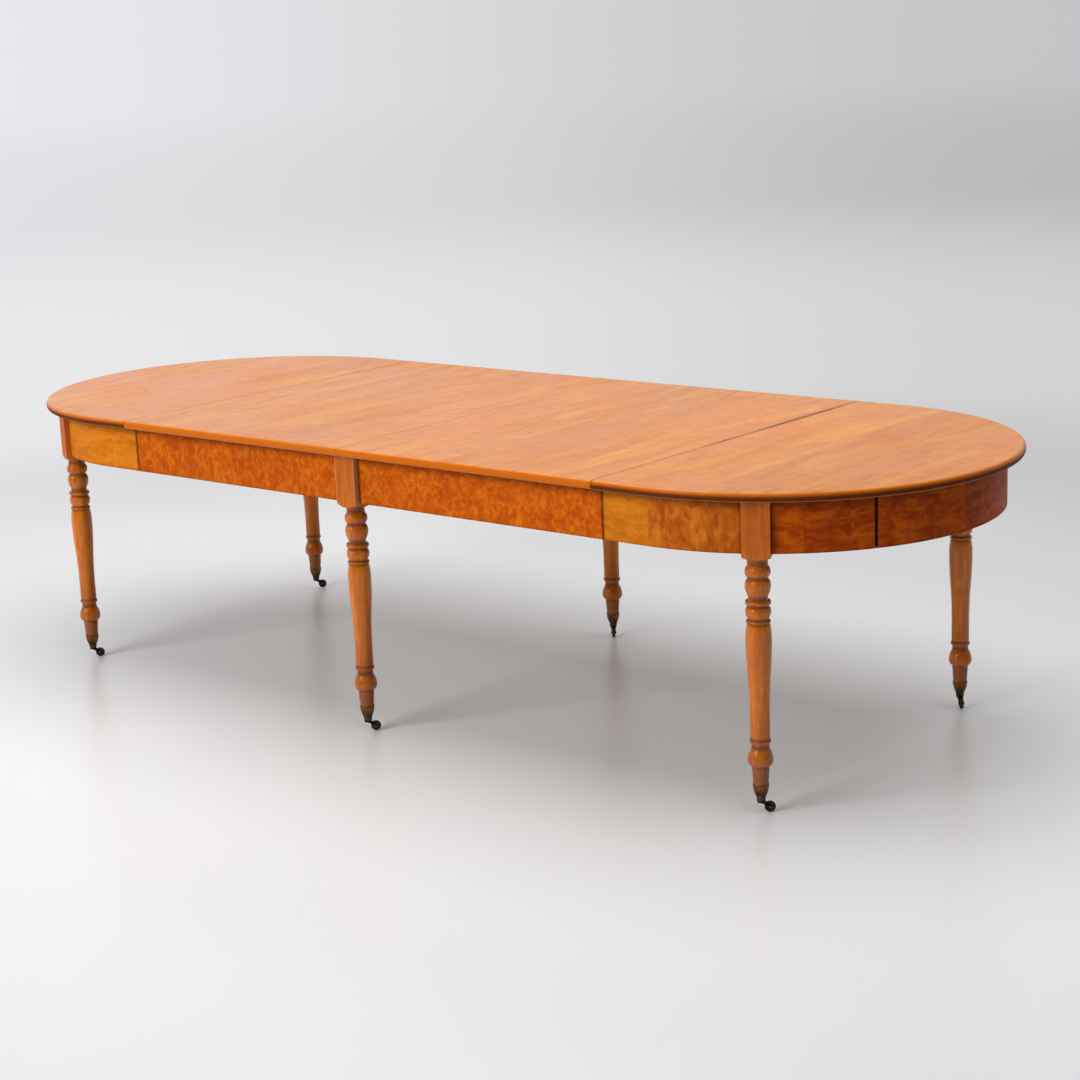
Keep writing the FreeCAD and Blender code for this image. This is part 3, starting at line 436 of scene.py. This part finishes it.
# Pine: patches to the metre along and across the grain, tones from dark to light, dust
RING_ALONG, RING_ACROSS = 4.0, 90.0
PINE_FIBRE_ALONG, PINE_FIBRE_ACROSS = 8.0, 600.0
PINE_TONES = ((0.36, 0.190, 0.075), (0.52, 0.320, 0.150), (0.58, 0.380, 0.190))
PINE_TURN = 0.6
PINE_FIBRE_TINT = (0.85, 1.08)
DUST = (0.24, 0.150, 0.080)
DUST_PATCHES = (0.45, 0.75)
DUST_COVER = 0.45
PINE_ROUGHNESS = (0.62, 0.80)
PINE_GLOSS = 0.2
PINE_FIBRES = (0.25, 0.0006)


def rail_wood(name, along):
    """Planed pine of the hidden rails and runners, dusty with age; along is the grain's axis."""
    material, shader = new_shader(name)
    place = shader.coords()
    ring_scale = tuple(RING_ALONG if axis == along else RING_ACROSS for axis in range(3))
    fibre_scale = tuple(PINE_FIBRE_ALONG if axis == along else PINE_FIBRE_ACROSS for axis in range(3))
    rings = shader.noise(place, ring_scale, rough=0.5, twist=0.6)
    fibre = shader.noise(place, fibre_scale, detail=2.0)
    dust = shader.noise(place, (7.0, 7.0, 7.0), detail=4.0)
    base = shader.grade(shader.vary(rings, 0.0, 1.0), PINE_TONES, PINE_TURN)
    lined = shader.tint(base, shader.vary(fibre, *PINE_FIBRE_TINT))
    aged = shader.mix(shader.spread(dust, *DUST_PATCHES, 0.0, DUST_COVER), lined, DUST)
    normal = shader.bump(fibre, *PINE_FIBRES)
    polished(shader, aged, shader.vary(fibre, *PINE_ROUGHNESS), normal, PINE_GLOSS)
    return material


# Brass: tarnish in patches, and the leg's old polish smeared below the rim of the cup
TARNISH_RANGE = (0.32, 0.74)
TARNISH_TURN = 0.6
SMEAR = (0.30, 0.115, 0.036)
SMEAR_HEIGHTS = (CUP_TOP - 0.022, CUP_TOP - 0.006)
SMEAR_COVER = 0.9
SMEAR_PATCHES, SMEAR_LEFT = (0.25, 0.6), (1.0, 0.75)
BRASS_RUBBED, BRASS_ROUGHNESS = (0.35, 0.7), (0.58, 0.38)
BRASS_SCRATCHES = (0.12, 0.0002)


def brass(name, tones):
    """Old brass, with the leg's polish under the rim; tones are of its pores, its body and its wear."""
    material, shader = new_shader(name)
    place = shader.coords()
    height = shader.split(place)["Z"]
    tarnish = shader.noise(place, (90.0, 90.0, 90.0), detail=4.0)
    scratch = shader.noise(place, (900.0, 900.0, 90.0), detail=2.0)
    bare_and_highlight = shader.grade(shader.spread(tarnish, *TARNISH_RANGE), tones, TARNISH_TURN)
    smeared = shader.math("MULTIPLY", shader.spread(height, *SMEAR_HEIGHTS, 0.0, SMEAR_COVER),
                          shader.spread(tarnish, *SMEAR_PATCHES, *SMEAR_LEFT))
    colour = shader.mix(smeared, bare_and_highlight, SMEAR)
    roughness = shader.spread(tarnish, *BRASS_RUBBED, *BRASS_ROUGHNESS)
    metal(shader, colour, roughness, shader.bump(scratch, *BRASS_SCRATCHES), 1.0)
    return material


# Iron: worn patches, and grit
IRON_WORN = (0.4, 0.72)
IRON_RUBBED, IRON_ROUGHNESS = (0.35, 0.7), (0.62, 0.42)
IRON_GRIT = (0.2, 0.0002)


def iron(name, dark, light, metallic):
    """Blackened iron, dusty and rubbed."""
    material, shader = new_shader(name)
    place = shader.coords()
    wear = shader.noise(place, (150.0, 150.0, 150.0), detail=5.0, rough=0.7)
    grit = shader.noise(place, (1100.0, 1100.0, 1100.0), detail=2.0)
    colour = shader.ramp(shader.spread(wear, *IRON_WORN), [(0.0, dark), (1.0, light)])
    roughness = shader.spread(wear, *IRON_RUBBED, *IRON_ROUGHNESS)
    metal(shader, colour, roughness, shader.bump(grit, *IRON_GRIT), metallic)
    return material


# Tones from dark to light
LEAF_APRON_TONES = ((0.43, 0.066, 0.001), (0.55, 0.097, 0.002), (0.68, 0.158, 0.005))
SHORT_CURVE_TONES = ((0.38, 0.072, 0.004), (0.54, 0.120, 0.008), (0.66, 0.190, 0.018))
# The long curve is darker than the other aprons: partly its own figure, partly painted shade of the end
# that faces away from the light
LONG_CURVE_TONES_WITH_SHADE = ((0.28, 0.034, 0.001), (0.42, 0.060, 0.001), (0.56, 0.104, 0.002))
PLAIN_TONES = ((0.53, 0.138, 0.003), (0.61, 0.172, 0.006), (0.68, 0.214, 0.012))
CUP_TONES = ((0.055, 0.032, 0.014), (0.108, 0.066, 0.031), (0.195, 0.128, 0.062))
HORN_TONES = ((0.012, 0.009, 0.006), (0.030, 0.021, 0.011), (0.110, 0.075, 0.032))
WHEEL_TONES = ((0.010, 0.009, 0.008), (0.075, 0.066, 0.056))
PIN_TONES = ((0.060, 0.055, 0.050), (0.300, 0.290, 0.280))
WHEEL_METALLIC, PIN_METALLIC = 0.6, 1.0
ALONG, ACROSS = 0, 1


def dress_nodes():
    """Gives every piece its finish."""
    top = top_wood()
    leaf_apron = apron_wood("figured_birch_leaf_apron", LEAF_APRON_TONES, (66.0, 56.0), (21.0, 17.0), 0.0)
    short_curve = apron_wood("figured_birch_short_curve", SHORT_CURVE_TONES, (36.0, 26.0), (16.0, 6.0), 0.6)
    long_curve = apron_wood("figured_birch_long_curve", LONG_CURVE_TONES_WITH_SHADE, (22.0, 60.0), (7.0, 24.0), 1.0)
    plain = apron_wood("plain_birch_return", PLAIN_TONES, (20.0, 70.0), (4.0, 20.0), 0.3)
    legs = leg_wood()
    pine_along = rail_wood("pine_along", ALONG)
    pine_across = rail_wood("pine_across", ACROSS)
    cup = brass("aged_brass_cup", CUP_TONES)
    horn = brass("blackened_brass_horn", HORN_TONES)
    wheel = iron("black_iron", *WHEEL_TONES, WHEEL_METALLIC)
    pin = iron("dull_steel", *PIN_TONES, PIN_METALLIC)
    # The first mark that is in a piece's name gives its finish
    rules = (
        ("left_end_curve_front", plain), ("_end_top", top), ("_leaf_top", top),
        ("_leaf_apron_", leaf_apron), ("_end_return_", plain),
        ("_end_curve_", short_curve), ("_end_curve", long_curve), ("_cross_rail", pine_across),
        ("_runner_", pine_along), ("_bearers", pine_along), ("_battens", pine_along), ("_caster_cups", cup),
        ("_caster_horn", horn), ("_caster_axle", pin), ("_caster_wheel", wheel), ("_leg", legs),
    )
    for name, piece in nodes.items():
        finish = next(material for mark, material in rules if mark in name)
        for slot in piece.material_slots:
            slot.material = finish


def camera_axes():
    """Right, up and back of the photograph's camera."""
    back = Vector((math.sin(CAMERA_AZIMUTH) * math.cos(CAMERA_ELEVATION),
                   -math.cos(CAMERA_AZIMUTH) * math.cos(CAMERA_ELEVATION), math.sin(CAMERA_ELEVATION)))
    right = (-back).cross(Vector((0.0, 0.0, 1.0))).normalized()
    up = back.cross(right)
    turned_right = math.cos(CAMERA_ROLL) * right + math.sin(CAMERA_ROLL) * up
    turned_up = math.cos(CAMERA_ROLL) * up - math.sin(CAMERA_ROLL) * right
    return turned_right, turned_up, back


def add_camera():
    """The camera of the photograph."""
    data = bpy.data.cameras.new("camera")
    data.lens = CAMERA_LENS
    data.sensor_width = SENSOR_WIDTH
    camera = bpy.data.objects.new("camera", data)
    camera.matrix_world = Matrix.Translation(CAMERA_PLACE) @ Matrix(camera_axes()).transposed().to_4x4()
    bpy.context.scene.collection.objects.link(camera)
    bpy.context.scene.camera = camera


# Studio: pale floor that runs into the backdrop, with painted light on the backdrop: bright on the left,
# darker on the right and in front
FLOOR_RADIUS = 60.0
FLOOR_SIDES = 96
FLOOR_DROP = 0.0004
FLOOR_NEAR, FLOOR_FAR = 2.3, 5.0
FLOOR_PAINT = [(0.0, (0.845, 0.850, 0.855)), (1.0, (0.875, 0.875, 0.875))]
FLOOR_ROUGHNESS = 0.3
BACKDROP_NEAR, BACKDROP_FAR, BACKDROP_END = 7.0, 17.0, 55.0
STUDIO_EYE = Vector((CAMERA_PLACE.x, CAMERA_PLACE.y, 0.0))
STUDIO_RIGHT = Vector((math.cos(CAMERA_AZIMUTH), math.sin(CAMERA_AZIMUTH), 0.0))
STUDIO_FRONT = Vector((math.sin(CAMERA_AZIMUTH), -math.cos(CAMERA_AZIMUTH), 0.0))
# Backdrop from left to right, at three heights, with painted light brighter on the left, and how far round
# it reaches
BACKDROP_LOW = ((0.82, 0.815, 0.84), (0.75, 0.75, 0.755), (0.64, 0.64, 0.64))
BACKDROP_MIDDLE = ((0.75, 0.745, 0.775), (0.65, 0.65, 0.65), (0.49, 0.49, 0.50))
BACKDROP_HIGH = ((0.81, 0.80, 0.84), (0.665, 0.665, 0.68), (0.555, 0.55, 0.57))
BACKDROP_SPREAD = 0.26
BACKDROP_FRONT = (-0.8, -0.1)
EYE_CLEARANCE = (-4.0, -0.5)
# Light from all round, stronger from the front, and a window that only polish shows
FILL_FROM = Vector((-0.1, -0.97, 0.2))
FILL_REACH = (-0.45, 0.95)
FILL_BACK, FILL_FRONT = 0.13, 0.36
DARK_FRONT_REACH = (-0.1, 0.5)
DARK_FRONT = 0.15
WINDOW_FROM = Vector((-0.28, -0.84, 0.47))
WINDOW_REACH = (0.945, 0.985)
WINDOW_STRENGTH = 4.5
# Lamps: place, what they face, size, power, and whether polish mirrors them
LAMPS = {
    "overhead": ((0.0, 0.25, 3.6), (0.0, 0.25, 0.0), (6.0, 3.4), 142.0, True),
    "key": ((-2.2, -7.8, 3.8), (0.1, -0.4, 0.6), (4.6, 4.6), 490.0, False),
}


def along_axis(shader, vector, axis):
    """How far a vector reaches along an axis."""
    return shader.vector("DOT_PRODUCT", {0: vector, 1: axis}, "Value")


def backdrop_colour(shader, direction, tones):
    """Pale grey, with painted light brighter on the left of the studio's back wall, and even all round the
    rest.
    """
    aside = shader.spread(along_axis(shader, direction, STUDIO_RIGHT), -BACKDROP_SPREAD, BACKDROP_SPREAD)
    on_wall = shader.spread(along_axis(shader, direction, STUDIO_FRONT), *BACKDROP_FRONT, 1.0, 0.0)
    _, middle, _ = tones
    return shader.mix(on_wall, middle, shader.grade(aside, tones))


def seen_directly(shader):
    """One for rays that show the studio itself, nought for rays that light the table."""
    ray = shader.add("ShaderNodeLightPath", {}).outputs
    direct = shader.math("MAXIMUM", ray["Is Camera Ray"], ray["Is Glossy Ray"])
    return shader.math("MAXIMUM", direct, ray["Is Transmission Ray"])


def floor_finish():
    """Pale paint near the table, that fades into the backdrop."""
    material, shader = new_shader("studio_floor")
    place = shader.coords()
    distance = shader.vector("LENGTH", {0: place}, "Value")
    ahead = shader.vector("SUBTRACT", {0: place, 1: STUDIO_EYE})
    far_enough = shader.spread(along_axis(shader, ahead, STUDIO_FRONT), *EYE_CLEARANCE, 1.0, 0.0)
    outward = shader.vector("NORMALIZE", {0: ahead})
    faced = shader.vector("SCALE", {0: outward, "Scale": far_enough})
    marks = shader.noise(place, (0.7, 0.7, 0.7), detail=2.0)
    paint = shader.ramp(shader.vary(marks, 0.0, 1.0), FLOOR_PAINT)
    near = shader.principled({"Base Color": paint, "Roughness": FLOOR_ROUGHNESS})
    low, middle, high = (backdrop_colour(shader, faced, tones)
                         for tones in (BACKDROP_LOW, BACKDROP_MIDDLE, BACKDROP_HIGH))
    rise = shader.spread(distance, BACKDROP_NEAR, BACKDROP_FAR)
    top = shader.spread(distance, BACKDROP_FAR, BACKDROP_END)
    backdrop = shader.mix(top, shader.mix(rise, low, middle), high)
    inputs = {"Color": backdrop, "Strength": seen_directly(shader)}
    far = shader.add("ShaderNodeEmission", inputs).outputs["Emission"]
    fade = shader.spread(distance, FLOOR_NEAR, FLOOR_FAR)
    shader.surface(shader.add("ShaderNodeMixShader", {0: fade, 1: near, 2: far}).outputs[0])
    return material


def add_floor():
    """A wide round floor just under the wheels."""
    mesh = bpy.data.meshes.new("floor")
    shape = bmesh.new()
    bmesh.ops.create_circle(shape, cap_ends=True, segments=FLOOR_SIDES, radius=FLOOR_RADIUS)
    shape.to_mesh(mesh)
    shape.free()
    mesh.materials.append(floor_finish())
    floor = bpy.data.objects.new("floor", mesh)
    floor.location.z = -FLOOR_DROP
    bpy.context.scene.collection.objects.link(floor)


def add_world():
    """Light from all round for the table, and the backdrop for what is seen or mirrored."""
    world = bpy.data.worlds.new("studio")
    world.use_nodes = True
    bpy.context.scene.world = world
    shader = Shader(world.node_tree)
    direction = shader.add("ShaderNodeTexCoord", {}).outputs["Generated"]
    fill = shader.spread(along_axis(shader, direction, FILL_FROM), *FILL_REACH, FILL_BACK, FILL_FRONT)
    light = shader.add("ShaderNodeBackground", {"Strength": fill}).outputs[0]
    frontal = along_axis(shader, direction, STUDIO_FRONT)
    dark_front = shader.spread(frontal, *DARK_FRONT_REACH, 1.0, DARK_FRONT)
    window = shader.spread(along_axis(shader, direction, WINDOW_FROM), *WINDOW_REACH, 0.0, WINDOW_STRENGTH)
    ray = shader.add("ShaderNodeLightPath", {}).outputs
    mirrored = shader.math("MAXIMUM", dark_front, shader.math("MULTIPLY", window, ray["Is Glossy Ray"]))
    shade = shader.math("MAXIMUM", mirrored, ray["Is Camera Ray"])
    inputs = {"Color": backdrop_colour(shader, direction, BACKDROP_HIGH), "Strength": shade}
    seen = shader.add("ShaderNodeBackground", inputs).outputs[0]
    both = shader.add("ShaderNodeMixShader", {0: seen_directly(shader), 1: light, 2: seen}).outputs[0]
    shader.add("ShaderNodeOutputWorld", {"Surface": both})


def add_light(name, place, aim, size, power, mirrored):
    """A soft rectangular lamp at place, facing aim; mirrored in polish or not."""
    data = bpy.data.lights.new(name, "AREA")
    data.shape = "RECTANGLE"
    data.size, data.size_y = size
    data.energy = power
    lamp = bpy.data.objects.new(name, data)
    lamp.location = place
    lamp.visible_glossy = mirrored
    lamp.rotation_euler = (Vector(aim) - Vector(place)).to_track_quat("-Z", "Y").to_euler()
    bpy.context.scene.collection.objects.link(lamp)


dress_nodes()
add_camera()
add_floor()
add_world()
for lamp_name, lamp_values in LAMPS.items():
    add_light(lamp_name, *lamp_values)
bpy.context.scene.view_settings.view_transform = "Standard"
